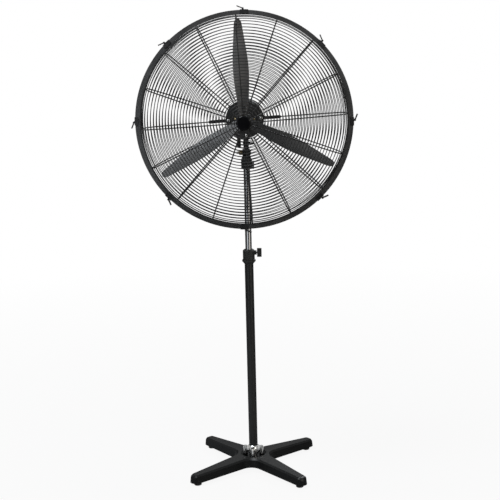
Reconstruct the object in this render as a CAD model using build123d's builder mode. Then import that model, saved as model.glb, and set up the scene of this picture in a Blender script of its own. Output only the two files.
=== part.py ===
from build123d import *
from math import asin, cos, degrees, radians, sin
import os

os.makedirs("parts", exist_ok=True)

# The floor is z = 0, the pole stands on the origin and the fan blows along -Y. Millimetres, degrees.

# Clearances
running_fit = 0.05
pass_gap = 0.3
weld_gap = 0.02

# Base
arm_count = 4
base_turn = -5.0
arm_reach = 319.0
arm_root_half = 46.0
arm_tip_half = 25.0
notch_radius = 45.0
base_draft = 6.0
base_top = 60.0
arm_tip_top = 46.0
arm_nose = 22.0
base_under = 25.0
base_edge = 6.0
base_wall = 5.0
rib_thickness = 3.0
dish_radius = 52.0
dish_floor = 48.0
dish_slope = 14.0
foot_reach = 286.0
foot_radius = 15.0
foot_height = 14.0
foot_stem_radius = 5.0
foot_stem_length = 12.0

# Pole
outer_tube_radius = 17.5
outer_tube_base = 72.0
outer_tube_top = 875.0
inner_tube_radius = 12.7
inner_tube_base = 480.0
tube_wall = 1.5
stem_radius = 17.5
sleeve_radius = 20.5
sleeve_floor = 4.0
flange_radius = 30.0
flange_top = 86.0
flange_thickness = 7.0
flange_lip = 8.0
ear_reach = 33.0
ear_radius = 9.5
ear_boss_drop = 19.0
flange_bolt_radius = 4.0
bolt_head_radius = 7.0
bolt_head_height = 5.0
collar_lap = 20.0
collar_rise = 37.0
collar_radius = 23.5
collar_ring_radius = 27.0
collar_ring_rise = 12.0
collar_ring_width = 5.0
collar_bevel = 5.0
bush_length = 40.0
bush_flange = 4.0
knob_drop = 14.0
knob_boss_radius = 9.0
knob_boss_reach = 31.0
knob_screw_radius = 4.0
knob_reach = 33.0
knob_depth = 18.0
knob_span = 36.0
knob_waist = 12.0
knob_middle = 9.0
plug_flange = 10.0
plug_length = 25.0

# Neck and tilt
tilt_drop = 138.0
socket_drop = 64.0
fork_drop = 26.0
socket_radius = 21.5
socket_seat = 30.0
fork_half = 14.8
fork_radius = 14.0
fork_gap_half = 8.0
washer_thickness = 1.3
washer_radius = 12.5
lug_half = 9.0
lug_reach = 29.0
lug_height = 30.0
slit_width = 2.0
clamp_screw_radius = 2.5
clamp_screw_pitch = 16.0
tilt_bolt_radius = 5.0
tilt_bolt_head_radius = 10.0
tilt_bolt_head_height = 4.0
tilt_bolt_reach = 38.0
hand_nut_radius = 9.8
hand_nut_width = 13.0
knurl_count = 24
knurl_radius = 0.7
column_radius = 10.5
clip_rise = 35.0
clip_band = 8.0
clip_thickness = 1.8
clip_eye_reach = 23.0
clip_eye_radius = 5.5

# Swing drive
spindle_radius = 8.0
spindle_tip_radius = 6.0
hub_drop = 84.0
hub_length = 61.0
hub_radius = 16.0
swivel_bush_radius = 12.0
gear_module = 1.5
gear_teeth = 24
pinion_teeth = 12
gear_width = 8.0
gear_rise = 1.5
tooth_share = 0.38
tooth_tip = 0.9
tooth_root = 1.25
tooth_flank = 20.0
circlip_thickness = 1.2
circlip_radius = 9.0
groove_depth = 0.8
swing_motor_radius = 21.0
swing_motor_height = 18.0
swing_motor_rise = 4.0
shelf_drop = 5.0
web_width = 24.0
swing_post_spread = 25.0
swing_post_radius = 4.0
pinion_shaft_radius = 3.0

# Motor, its places measured forward of the pole along the fan axis
fan_height = 1435.0
plate_back = 18.0
plate_thickness = 6.0
plate_radius = 68.0
plate_window = 26.0
motor_length = 84.0
motor_radius = 66.0
motor_face_radius = 73.0
motor_face_thickness = 8.0
bell_wall = 6.0
stator_radius = 56.0
stator_length = 40.0
air_gap = 0.6
rotor_radius = 30.4
winding_inner = 33.0
winding_outer = 53.0
winding_length = 9.0
bearing_radius = 16.0
bearing_width = 10.0
bearing_boss = 5.0
rib_count = 24
rib_groove = 3.0
rib_depth = 2.0
through_bolt_reach = 62.0
through_bolt_radius = 2.5
through_bolt_head = 6.0
through_bolt_head_height = 3.5
face_recess = 46.0

# Rear cover and controls
cover_radius = 66.0
cover_length = 88.0
cover_wall = 2.5
cover_round = 18.0
vent_count = 7
vent_pitch = 7.0
vent_width = 3.0
vent_length = 46.0
button_height = 30.0
button_radius = 7.0
button_proud = 4.0
button_travel = 2.5
board_width = 70.0
board_height = 34.0
board_thickness = 1.6
board_stand = 14.0
gland_side = 28.0
gland_reach = 10.0
gland_radius = 7.5
gland_nut_radius = 10.5
gland_drop = 119.0
gland_bore = 4.0
gland_rise = 14.0

# Guards
guard_turn = 3.2
spoke_count = 16
spoke_wire = 4.5
ring_wire = 3.0
end_wire = 6.0
ring_pitch = 11.2
dome_radius = 2140.0
shoulder_radius = 42.0
shoulder_end = 80.0
lip_radius = 6.0
hoop_radius = 405.0
hoop_sheet = 2.0
hoop_lap = 17.0
rim_gap = 0.2
front_spoke_start = 24.0
front_ring_start = 34.0
rear_spoke_start = 75.0
rear_ring_start = 77.0
bar_count = 4
bar_width = 12.5
bar_thickness = 4.0
bar_start = 54.0
bar_end = 138.0
cap_radius = 27.6
cap_depth = 13.0
cap_bevel = 5.0
cap_boss_depth = 8.0

# Rim clips
clip_count = 8
clip_turn = -1.3
saddle_length = 30.0
saddle_sheet = 2.0
saddle_lap = 14.0
ear_half = 8.0
ear_sheet = 2.5
pin_radius = 1.5
pin_offset = 5.0
knuckle_radius = 3.5
tail_length = 24.0
tail_half = 7.0
tail_sheet = 4.0
tail_flare = 21.0

# Rotor
shaft_radius = 6.0
blade_count = 3
blade_turn = 92.6
blade_clearance = 31.0
blade_root = 20.0
blade_root_half = 17.0
blade_wide_share = 0.495
blade_wide_half = 29.0
blade_end_run = 28.0
blade_end_half = 15.5
blade_sheet = 2.5
blade_place = 170.0
blade_chord_half = 42.0
root_flat_end = 62.0
root_pitch = 38.0
mid_pitch = 27.0
tip_pitch = 17.0
blade_camber = 6.0
hub_boss_radius = 17.0
hub_boss_length = 34.0
pad_width = 28.0
pad_thickness = 5.0
pad_end = 58.0
blade_screw_radius = 3.0
blade_screw_head = 5.5
blade_screw_head_height = 3.0
blade_screw_places = (32.0, 50.0)
hub_nut_radius = 10.0
hub_nut_length = 9.0

# Working planes and axes
fan = Plane(origin=(0, 0, fan_height), x_dir=(1, 0, 0), z_dir=(0, -1, 0))
side = Plane(origin=(0, 0, fan_height), x_dir=(0, -1, 0), z_dir=(-1, 0, 0))
fan_axis = Axis((0, 0, fan_height), (0, -1, 0))
arm_start = base_turn + 180 / arm_count

# Places that follow from the driving dimensions
tube_bore = outer_tube_radius - tube_wall
ear_boss_base = flange_top - flange_thickness - ear_boss_drop
collar_base = outer_tube_top - collar_lap
collar_top = outer_tube_top + collar_rise
knob_height = collar_top - knob_drop
tilt_height = fan_height - tilt_drop
socket_base = tilt_height - socket_drop
socket_top = tilt_height - fork_drop
clip_height = tilt_height + clip_rise
hub_bottom = fan_height - hub_drop
hub_top = hub_bottom + hub_length
gland_bottom = fan_height - gland_drop
motor_back = plate_back + plate_thickness
motor_front = motor_back + motor_length
motor_middle = motor_back + motor_length / 2
stator_back = motor_middle - stator_length / 2
stator_front = motor_middle + stator_length / 2
front_bearing = motor_front - bell_wall - bearing_width
rear_bearing = motor_back + bell_wall
gear_base = hub_top + gear_rise
gear_top = gear_base + gear_width
pinion_reach = gear_module * (gear_teeth + pinion_teeth) / 2
swing_motor_base = gear_top + swing_motor_rise
shelf_top = hub_top - shelf_drop
bolt_end = plate_back + tube_wall
cover_back = plate_back - cover_length
board_place = cover_back + board_stand

# The guard profile: a dome arc, a shoulder arc and a lip turned out into the hoop
hoop_mouth = hoop_radius - hoop_lap
saddle_inner = hoop_radius - saddle_lap
blade_radius = hoop_radius - blade_clearance
blade_end_at = blade_radius - blade_end_run
blade_wide_at = blade_wide_share * blade_radius
lip_start = hoop_mouth - lip_radius
shoulder_start = (lip_start - shoulder_radius) / (1 - shoulder_radius / dome_radius)
dome_angle = degrees(asin(shoulder_start / dome_radius))
dome_drop = dome_radius * (1 - cos(radians(dome_angle)))
shoulder_drop = dome_drop + shoulder_radius * cos(radians(dome_angle))
lip_drop = shoulder_drop + lip_radius
end_radius = hoop_radius - hoop_sheet - pass_gap - end_wire / 2
end_drop = lip_drop + spoke_wire / 2 + weld_gap + end_wire / 2
guard_depth = end_drop + end_wire / 2 + rim_gap / 2
hoop_half = guard_depth - lip_drop + spoke_wire / 2 + pass_gap + hoop_sheet


def dome_depth(radius):
    """Depth of the spoke's centre line behind the guard's middle, on the dome."""
    return dome_radius * (1 - cos(asin(radius / dome_radius)))


rear_centre = motor_front + running_fit - dome_depth(bar_start) - spoke_wire / 2 - weld_gap
rim_place = rear_centre + guard_depth
front_centre = rim_place + guard_depth
front_guard = Plane(origin=(0, -front_centre, fan_height), x_dir=(1, 0, 0), z_dir=(0, 0, 1))
rear_guard = Plane(origin=(0, -rear_centre, fan_height), x_dir=(1, 0, 0), z_dir=(0, 0, -1))

pieces = {}


def outline(plane, *points):
    """A face on a plane, closed by straight runs between points."""
    with BuildSketch(plane) as face:
        with BuildLine():
            Polyline(*points, close=True)
        make_face()
    return face.sketch


def ring_face(plane, outer, inner):
    """A flat ring on a plane."""
    with BuildSketch(plane) as face:
        Circle(outer)
        Circle(inner, mode=Mode.SUBTRACT)
    return face.sketch


def disc(plane, radius):
    """A round face on a plane."""
    with BuildSketch(plane) as face:
        Circle(radius)
    return face.sketch


def discs(plane, radius, reach, count, start):
    """Round faces on a circle about a plane's middle."""
    with BuildSketch(plane) as face:
        with PolarLocations(reach, count, start_angle=start):
            Circle(radius)
    return face.sketch


def hexagons(plane, radius, reach, count, start):
    """Six-sided faces on a circle about a plane's middle."""
    with BuildSketch(plane) as face:
        with PolarLocations(reach, count, start_angle=start):
            RegularPolygon(radius, 6)
    return face.sketch


def around_fan(piece, count, start):
    """Copies of a piece turned evenly about the fan axis."""
    return [piece.rotate(fan_axis, start + 360 * k / count) for k in range(count)]


# Base: a hollow moulded cross on four feet

def arm_plan(inset):
    """Plan of the cross base, drawn in on every side by an inset."""
    tip_place = arm_reach - arm_tip_half
    with BuildSketch() as plan:
        with PolarLocations(0, arm_count, start_angle=arm_start):
            Polygon(
                (0, inset - arm_root_half),
                (tip_place, inset - arm_tip_half),
                (tip_place, arm_tip_half - inset),
                (0, arm_root_half - inset),
                align=None,
            )
        with PolarLocations(tip_place, arm_count, start_angle=arm_start):
            Circle(arm_tip_half - inset)
        notches = plan.vertices().filter_by(lambda v: Vector(v).length < arm_reach / 2)
        fillet(notches, notch_radius + inset)
    return plan.sketch


with BuildPart() as base_cross:
    extrude(arm_plan(0), amount=base_top, taper=base_draft)
    with BuildSketch(Plane.XZ):
        with BuildLine():
            nose = CenterArc((arm_reach - arm_nose, arm_tip_top - arm_nose), arm_nose, 0, 90)
            Polyline(nose @ 1, (dish_radius, base_top), (0, base_top), (0, base_under))
            Polyline((0, base_under), (foot_reach, foot_height), (arm_reach, foot_height), nose @ 0)
        make_face()
    revolve(axis=Axis.Z, mode=Mode.INTERSECT)
    rims = base_cross.edges().filter_by(lambda e: e.bounding_box().min.Z > arm_tip_top - tube_wall)
    chamfer(rims.filter_by(lambda e: e.geom_type in (GeomType.HYPERBOLA, GeomType.BSPLINE)), base_edge)
    hollow = extrude(arm_plan(base_wall), amount=base_top, taper=base_draft, mode=Mode.PRIVATE)
    roof = revolve(
        outline(
            Plane.XZ,
            (0, 0),
            (arm_reach - base_wall, 0),
            (arm_reach - base_wall, arm_tip_top - arm_nose),
            (arm_reach - arm_nose, arm_tip_top - base_wall),
            (dish_radius + base_wall, base_top - base_wall),
            (dish_radius + base_wall, dish_floor - base_wall),
            (0, dish_floor - base_wall),
        ),
        axis=Axis.Z,
        mode=Mode.PRIVATE,
    )
    add(hollow & roof, mode=Mode.SUBTRACT)
    revolve(
        outline(
            Plane.XZ,
            (0, dish_floor),
            (dish_radius - dish_slope, dish_floor),
            (dish_radius, base_top),
            (0, base_top),
        ),
        axis=Axis.Z,
        mode=Mode.SUBTRACT,
    )
    # Pads in the dish carry the flange's ears, and a boss under them takes the bolts
    extrude(
        discs(Plane.XY.offset(dish_floor), ear_radius, ear_reach, arm_count, base_turn),
        amount=ear_boss_base - dish_floor,
    )
    extrude(
        disc(Plane.XY.offset(base_under), ear_reach + flange_bolt_radius + base_wall),
        amount=dish_floor - base_wall - base_under,
    )
    # Each arm has a rib and a foot boss
    with BuildSketch(Plane.XY.offset(base_under)):
        with PolarLocations((ear_reach + foot_reach) / 2, arm_count, start_angle=arm_start):
            Rectangle(foot_reach - ear_reach, rib_thickness)
    extrude(amount=arm_tip_top - base_wall - base_under)
    foot_boss = arm_tip_top - base_wall - foot_height
    extrude(
        discs(
            Plane.XY.offset(foot_height),
            foot_stem_radius + base_wall,
            foot_reach,
            arm_count,
            arm_start,
        ),
        amount=foot_boss,
    )
    extrude(
        discs(Plane.XY, foot_stem_radius + running_fit, foot_reach, arm_count, arm_start),
        amount=foot_height + foot_stem_length + running_fit,
        mode=Mode.SUBTRACT,
    )
    extrude(
        discs(Plane.XY, flange_bolt_radius + running_fit, ear_reach, arm_count, base_turn),
        amount=ear_boss_base,
        mode=Mode.SUBTRACT,
    )
pieces["base_cross"] = base_cross.part

with BuildPart() as base_feet:
    extrude(discs(Plane.XY, foot_radius, foot_reach, arm_count, arm_start), amount=foot_height)
    fillet(base_feet.edges().group_by(Axis.Z)[0], foot_radius / 5)
    extrude(
        discs(Plane.XY.offset(foot_height), foot_stem_radius, foot_reach, arm_count, arm_start),
        amount=foot_stem_length,
    )
pieces["base_feet"] = base_feet.part

# Pole: a bolted flange, two tubes, the height collar and its wing knob

with BuildPart() as pole_flange:
    sleeve_base = outer_tube_base - sleeve_floor
    sleeve_top = flange_top + flange_lip
    extrude(disc(Plane.XY.offset(sleeve_base), sleeve_radius), amount=sleeve_top - sleeve_base)
    chamfer(pole_flange.edges().group_by(Axis.Z)[-1], tube_wall)
    extrude(disc(Plane.XY.offset(dish_floor), stem_radius), amount=sleeve_base - dish_floor)
    plate = Plane.XY.offset(flange_top - flange_thickness)
    extrude(disc(plate, flange_radius), amount=flange_thickness)
    extrude(discs(plate, ear_radius, ear_reach, arm_count, base_turn), amount=flange_thickness)
    ear_boss = Plane.XY.offset(ear_boss_base)
    extrude(
        discs(ear_boss, ear_radius - tube_wall, ear_reach, arm_count, base_turn),
        amount=ear_boss_drop,
    )
    extrude(
        disc(Plane.XY.offset(outer_tube_base), outer_tube_radius + weld_gap),
        amount=sleeve_top - outer_tube_base,
        mode=Mode.SUBTRACT,
    )
    extrude(
        discs(ear_boss, flange_bolt_radius + running_fit, ear_reach, arm_count, base_turn),
        amount=ear_boss_drop + flange_thickness,
        mode=Mode.SUBTRACT,
    )
pieces["pole_flange"] = pole_flange.part

with BuildPart() as flange_bolts:
    extrude(
        discs(Plane.XY.offset(base_under), flange_bolt_radius, ear_reach, arm_count, base_turn),
        amount=flange_top - base_under,
    )
    extrude(
        hexagons(Plane.XY.offset(flange_top), bolt_head_radius, ear_reach, arm_count, base_turn),
        amount=bolt_head_height,
    )
pieces["flange_bolts"] = flange_bolts.part

with BuildPart() as outer_tube:
    extrude(
        ring_face(Plane.XY.offset(outer_tube_base), outer_tube_radius, tube_bore),
        amount=outer_tube_top - outer_tube_base,
    )
pieces["outer_tube"] = outer_tube.part

with BuildPart() as guide_bush:
    bush_bore = inner_tube_radius + running_fit
    revolve(
        outline(
            Plane.XZ,
            (bush_bore, outer_tube_top - bush_length),
            (tube_bore - running_fit, outer_tube_top - bush_length),
            (tube_bore - running_fit, outer_tube_top),
            (outer_tube_radius, outer_tube_top),
            (outer_tube_radius, outer_tube_top + bush_flange),
            (bush_bore, outer_tube_top + bush_flange),
        ),
        axis=Axis.Z,
    )
pieces["guide_bush"] = guide_bush.part

with BuildPart() as height_collar:
    collar_seat = outer_tube_radius + weld_gap
    collar_bore = inner_tube_radius + 2 * pass_gap
    ring_low = collar_base + collar_ring_rise - collar_ring_width / 2
    ring_high = ring_low + collar_ring_width
    revolve(
        outline(
            Plane.XZ,
            (collar_seat, collar_base),
            (collar_seat + tube_wall, collar_base),
            (collar_ring_radius, ring_low),
            (collar_ring_radius, ring_high),
            (collar_radius, ring_high + tube_wall),
            (collar_radius, collar_top - collar_bevel),
            (collar_radius - collar_bevel, collar_top),
            (collar_bore, collar_top),
            (collar_bore, outer_tube_top + bush_flange),
            (collar_seat, outer_tube_top + bush_flange),
        ),
        axis=Axis.Z,
    )
    boss_start = (collar_radius + collar_bore) / 2
    boss_plane = Plane(origin=(boss_start, 0, knob_height), z_dir=(1, 0, 0))
    extrude(disc(boss_plane, knob_boss_radius), amount=knob_boss_reach - boss_start)
    extrude(
        disc(Plane(origin=(0, 0, knob_height), z_dir=(1, 0, 0)), knob_screw_radius + running_fit),
        amount=knob_boss_reach,
        mode=Mode.SUBTRACT,
    )
pieces["height_collar"] = height_collar.part

with BuildPart() as height_knob_screw:
    screw_tip = inner_tube_radius + running_fit
    screw_plane = Plane(origin=(screw_tip, 0, knob_height), z_dir=(1, 0, 0))
    extrude(disc(screw_plane, knob_screw_radius), amount=knob_reach + knob_depth / 2 - screw_tip)
pieces["height_knob_screw"] = height_knob_screw.part

with BuildPart() as height_knob:
    knob_plane = Plane(origin=(knob_reach, 0, knob_height), x_dir=(0, 0, 1), z_dir=(1, 0, 0))
    with BuildSketch(knob_plane):
        SlotOverall(knob_span, knob_waist)
        Circle(knob_middle)
    extrude(amount=knob_depth)
    fillet(height_knob.edges().group_by(Axis.X)[-1], knob_waist / 6)
    extrude(
        disc(knob_plane, knob_screw_radius + weld_gap), amount=knob_depth / 2, mode=Mode.SUBTRACT
    )
pieces["height_knob"] = height_knob.part

with BuildPart() as inner_tube:
    extrude(
        ring_face(
            Plane.XY.offset(inner_tube_base), inner_tube_radius, inner_tube_radius - tube_wall
        ),
        amount=socket_base + socket_seat - inner_tube_base,
    )
pieces["inner_tube"] = inner_tube.part

with BuildPart() as tube_plug:
    plug_base = inner_tube_base - plug_flange
    extrude(disc(Plane.XY.offset(plug_base), tube_bore - 2 * running_fit), amount=plug_flange)
    chamfer(tube_plug.edges().group_by(Axis.Z)[0], tube_wall)
    spigot = inner_tube_radius - tube_wall - weld_gap
    extrude(disc(Plane.XY.offset(inner_tube_base), spigot), amount=plug_length)
    extrude(
        disc(Plane.XY.offset(plug_base), spigot - 2 * tube_wall),
        amount=plug_flange + plug_length,
        mode=Mode.SUBTRACT,
    )
pieces["tube_plug"] = tube_plug.part

# Neck: a clamp socket with a fork, the tilting neck between its cheeks and the tilt bolt

across = Plane(origin=(0, 0, tilt_height), x_dir=(0, 1, 0), z_dir=(1, 0, 0))
lug_plane_height = socket_base + socket_seat / 2
screw_out = (socket_radius + lug_reach) / 2
clamp_axis = Plane(origin=(screw_out, 0, lug_plane_height), x_dir=(1, 0, 0), z_dir=(0, -1, 0))

with BuildPart() as neck_socket:
    revolve(
        outline(
            Plane.XZ,
            (0, socket_base),
            (socket_radius, socket_base),
            (socket_radius, socket_top - tube_wall),
            (fork_half, tilt_height - fork_radius),
            (0, tilt_height - fork_radius),
        ),
        axis=Axis.Z,
    )
    with BuildSketch(across):
        Circle(fork_radius)
        with Locations((0, -fork_drop / 2)):
            Rectangle(2 * fork_radius, fork_drop)
    extrude(amount=fork_half, both=True)
    with BuildSketch(Plane.XY.offset(lug_plane_height - lug_height / 2)):
        with Locations((lug_reach / 2, 0)):
            Rectangle(lug_reach, 2 * lug_half)
    extrude(amount=lug_height)
    with BuildSketch(across):
        with Locations((0, fork_radius / 2 - pass_gap)):
            Rectangle(2 * fork_radius + pass_gap, 3 * fork_radius)
    extrude(amount=fork_gap_half, both=True, mode=Mode.SUBTRACT)
    extrude(disc(across, tilt_bolt_radius + weld_gap), amount=fork_half, both=True, mode=Mode.SUBTRACT)
    extrude(
        disc(Plane.XY.offset(socket_base), inner_tube_radius + weld_gap),
        amount=socket_seat,
        mode=Mode.SUBTRACT,
    )
    with BuildSketch(Plane.XY.offset(socket_base)):
        with Locations((lug_reach / 2, 0)):
            Rectangle(lug_reach, slit_width)
    extrude(amount=socket_seat, mode=Mode.SUBTRACT)
    with BuildSketch(clamp_axis):
        with GridLocations(0, clamp_screw_pitch, 1, 2):
            Circle(clamp_screw_radius + weld_gap)
    extrude(amount=lug_half, both=True, mode=Mode.SUBTRACT)
pieces["neck_socket"] = neck_socket.part

with BuildPart() as socket_screws:
    with BuildSketch(clamp_axis.offset(-lug_half)):
        with GridLocations(0, clamp_screw_pitch, 1, 2):
            Circle(clamp_screw_radius)
    extrude(amount=2 * lug_half)
    with BuildSketch(clamp_axis.offset(lug_half)):
        with GridLocations(0, clamp_screw_pitch, 1, 2):
            RegularPolygon(2 * clamp_screw_radius, 6)
    extrude(amount=clamp_screw_radius)
pieces["socket_screws"] = socket_screws.part

with BuildPart() as tilt_bolt:
    head = across.offset(fork_half)
    extrude(disc(head, tilt_bolt_head_radius), amount=tilt_bolt_head_height)
    fillet(tilt_bolt.edges().group_by(Axis.X)[-1], tilt_bolt_head_height / 2)
    extrude(disc(head, tilt_bolt_radius), amount=-fork_half - tilt_bolt_reach)
pieces["tilt_bolt"] = tilt_bolt.part

with BuildPart() as tilt_hand_nut:
    nut_plane = across.offset(-fork_half - pass_gap - hand_nut_width)
    extrude(disc(nut_plane, hand_nut_radius), amount=hand_nut_width)
    chamfer(tilt_hand_nut.edges().group_by(Axis.X)[0], knurl_radius)
    extrude(
        discs(nut_plane, knurl_radius, hand_nut_radius, knurl_count, 0),
        amount=hand_nut_width,
        mode=Mode.SUBTRACT,
    )
    extrude(
        disc(nut_plane, tilt_bolt_radius + running_fit), amount=hand_nut_width, mode=Mode.SUBTRACT
    )
pieces["tilt_hand_nut"] = tilt_hand_nut.part

tongue_half = fork_gap_half - washer_thickness - 2 * running_fit
column_base = tilt_height + fork_radius + pass_gap

with BuildPart() as tilt_neck:
    with BuildSketch(across):
        Circle(fork_radius - pass_gap)
        with Locations((0, fork_radius / 2 + pass_gap)):
            Rectangle(2 * column_radius, fork_radius + 2 * pass_gap)
    extrude(amount=tongue_half, both=True)
    extrude(
        disc(Plane.XY.offset(column_base), column_radius), amount=hub_bottom - pass_gap - column_base
    )
    extrude(disc(Plane.XY.offset(column_base), spindle_radius), amount=gear_base - column_base)
    tip_top = gear_top + circlip_thickness + 2 * running_fit + groove_depth
    extrude(disc(Plane.XY.offset(gear_base), spindle_tip_radius), amount=tip_top - gear_base)
    groove = Plane.XY.offset(gear_top + running_fit)
    extrude(
        ring_face(groove, spindle_tip_radius, spindle_tip_radius - groove_depth),
        amount=circlip_thickness + running_fit,
        mode=Mode.SUBTRACT,
    )
    extrude(
        disc(across, tilt_bolt_radius + running_fit), amount=tongue_half, both=True, mode=Mode.SUBTRACT
    )
pieces["tilt_neck"] = tilt_neck.part

with BuildPart() as tilt_washers:
    for face in (tongue_half + running_fit, -tongue_half - running_fit - washer_thickness):
        extrude(
            ring_face(across.offset(face), washer_radius, tilt_bolt_radius + running_fit),
            amount=washer_thickness,
        )
pieces["tilt_washers"] = tilt_washers.part

with BuildPart() as cable_clip:
    band_base = Plane.XY.offset(clip_height - clip_band / 2)
    with BuildSketch(band_base):
        Circle(column_radius + weld_gap + clip_thickness)
        with Locations((clip_eye_reach, 0)):
            Circle(clip_eye_radius)
        with Locations((clip_eye_reach / 2, 0)):
            Rectangle(clip_eye_reach, 2 * clip_thickness)
        with Locations((clip_eye_reach, 0)):
            Circle(clip_eye_radius - clip_thickness, mode=Mode.SUBTRACT)
        Circle(column_radius + weld_gap, mode=Mode.SUBTRACT)
    extrude(amount=clip_band)
pieces["cable_clip"] = cable_clip.part

# Swing drive: a gear fixed on the neck's tip and a pinion that walks round it

def gear_face(plane, teeth, turn):
    """A spur gear with straight-flanked teeth of one module."""
    pitch_radius = gear_module * teeth / 2
    tip = pitch_radius + gear_module * tooth_tip
    root = pitch_radius - gear_module * tooth_root
    sunk = root - gear_module
    half = 180 / teeth * tooth_share
    lean = sin(radians(tooth_flank))
    width = pitch_radius * sin(radians(half))
    with BuildSketch(plane) as face:
        Circle(root)
        with PolarLocations(0, teeth, start_angle=turn):
            Polygon(
                (sunk, -width - lean * (pitch_radius - root)),
                (root, -width - lean * (pitch_radius - root)),
                (tip, lean * (tip - pitch_radius) - width),
                (tip, width - lean * (tip - pitch_radius)),
                (root, width + lean * (pitch_radius - root)),
                (sunk, width + lean * (pitch_radius - root)),
                align=None,
            )
    return face.sketch


gear_plane = Plane.XY.offset(gear_base)
pinion_plane = Plane(origin=(0, pinion_reach, gear_base))
half_tooth = 180 / pinion_teeth

with BuildPart() as swing_gear:
    extrude(gear_face(gear_plane, gear_teeth, 90), amount=gear_width)
    extrude(disc(gear_plane, spindle_tip_radius + weld_gap), amount=gear_width, mode=Mode.SUBTRACT)
pieces["swing_gear"] = swing_gear.part

with BuildPart() as neck_circlip:
    clip_plane = Plane.XY.offset(gear_top + 2 * running_fit)
    with BuildSketch(clip_plane):
        Circle(circlip_radius)
        Circle(spindle_tip_radius - groove_depth + weld_gap, mode=Mode.SUBTRACT)
        with Locations((0, -circlip_radius)):
            Rectangle(spindle_tip_radius, 2 * circlip_radius - spindle_tip_radius, mode=Mode.SUBTRACT)
    extrude(amount=circlip_thickness - running_fit)
pieces["neck_circlip"] = neck_circlip.part

with BuildPart() as swing_pinion:
    extrude(gear_face(pinion_plane, pinion_teeth, 90 + half_tooth), amount=gear_width)
    shaft_base = pinion_plane.offset(shelf_top - plate_thickness - gear_base)
    shaft_top = swing_motor_base + swing_motor_height / 2
    extrude(disc(shaft_base, pinion_shaft_radius), amount=shaft_top - shelf_top + plate_thickness)
pieces["swing_pinion"] = swing_pinion.part

with BuildPart() as swing_motor:
    motor_base = Plane(origin=(0, pinion_reach, swing_motor_base))
    extrude(disc(motor_base, swing_motor_radius), amount=swing_motor_height)
    fillet(swing_motor.edges().group_by(Axis.Z)[-1], tube_wall)
    with BuildSketch(motor_base):
        SlotCenterToCenter(2 * swing_post_spread, 2 * swing_post_radius)
    extrude(amount=tube_wall)
    extrude(
        disc(motor_base, pinion_shaft_radius + running_fit),
        amount=swing_motor_height / 2 + running_fit,
        mode=Mode.SUBTRACT,
    )
pieces["swing_motor"] = swing_motor.part

with BuildPart() as swivel_bush:
    bush_top = hub_top - pass_gap
    extrude(
        ring_face(
            Plane.XY.offset(hub_bottom), swivel_bush_radius - weld_gap, spindle_radius + running_fit
        ),
        amount=bush_top - hub_bottom,
    )
pieces["swivel_bush"] = swivel_bush.part

def through_bolt_holes(part_plane, length):
    """Holes for the through bolts over a length of the motor."""
    return extrude(
        discs(part_plane, through_bolt_radius + weld_gap, through_bolt_reach, bar_count, guard_turn),
        amount=length,
        mode=Mode.PRIVATE,
    )


# Bracket: a plate behind the motor with the swivel hub and the shelf of the swing motor

with BuildPart() as swivel_bracket:
    plate_plane = fan.offset(plate_back)
    extrude(disc(plate_plane, plate_radius), amount=plate_thickness)
    extrude(disc(Plane.XY.offset(hub_bottom), hub_radius), amount=hub_top - hub_bottom)
    web_low = fan_height - plate_radius
    with BuildSketch(Plane.XY.offset(web_low)):
        with Locations((0, -plate_back / 2)):
            Rectangle(web_width, plate_back)
    extrude(amount=hub_top - web_low)
    with BuildSketch(Plane.XY.offset(shelf_top - plate_thickness)):
        with Locations((0, (pinion_reach + swing_motor_radius) / 2)):
            Rectangle(2 * (swing_post_spread + swing_post_radius), pinion_reach + swing_motor_radius)
    extrude(amount=plate_thickness)
    with BuildSketch(Plane.XY.offset(shelf_top - plate_thickness)):
        with Locations((-swing_post_spread, pinion_reach), (swing_post_spread, pinion_reach)):
            Circle(swing_post_radius)
    extrude(amount=swing_motor_base - shelf_top + plate_thickness)
    extrude(
        disc(Plane.XY.offset(hub_bottom), swivel_bush_radius),
        amount=hub_top - hub_bottom,
        mode=Mode.SUBTRACT,
    )
    extrude(
        disc(pinion_plane.offset(shelf_top - gear_base), pinion_shaft_radius + running_fit),
        amount=-plate_thickness,
        mode=Mode.SUBTRACT,
    )
    add(through_bolt_holes(fan.offset(bolt_end), plate_thickness), mode=Mode.SUBTRACT)
    extrude(disc(plate_plane, plate_window), amount=plate_thickness, mode=Mode.SUBTRACT)
pieces["swivel_bracket"] = swivel_bracket.part

# Motor: two ribbed bells, a stator with its windings and the bearings

def bell_ribs():
    """Grooves along the motor's barrel that leave ribs between them."""
    with BuildSketch(fan) as face:
        with PolarLocations(motor_radius, rib_count, start_angle=guard_turn + 180 / rib_count):
            Rectangle(2 * rib_depth, rib_groove)
    return face.sketch


bearing_seat = bearing_radius + weld_gap
bearing_wall = bearing_radius + bearing_boss
bell_cavity = stator_radius - tube_wall
shaft_hole = shaft_radius + 2 * pass_gap

with BuildPart() as motor_rear_bell:
    revolve(
        outline(
            side,
            (motor_back, shaft_hole),
            (motor_back, motor_radius),
            (motor_middle, motor_radius),
            (motor_middle, stator_radius + weld_gap),
            (stator_back, stator_radius + weld_gap),
            (stator_back, bell_cavity),
            (motor_back + bell_wall, bell_cavity),
            (motor_back + bell_wall, bearing_wall),
            (rear_bearing + bearing_width, bearing_wall),
            (rear_bearing + bearing_width, bearing_seat),
            (rear_bearing, bearing_seat),
            (rear_bearing, shaft_hole),
        ),
        axis=fan_axis,
    )
    ribs = bell_ribs().moved(Location((0, -motor_back, 0)))
    extrude(ribs, amount=motor_length / 2, mode=Mode.SUBTRACT)
    add(through_bolt_holes(fan.offset(motor_back), motor_length / 2), mode=Mode.SUBTRACT)
pieces["motor_rear_bell"] = motor_rear_bell.part

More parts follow.
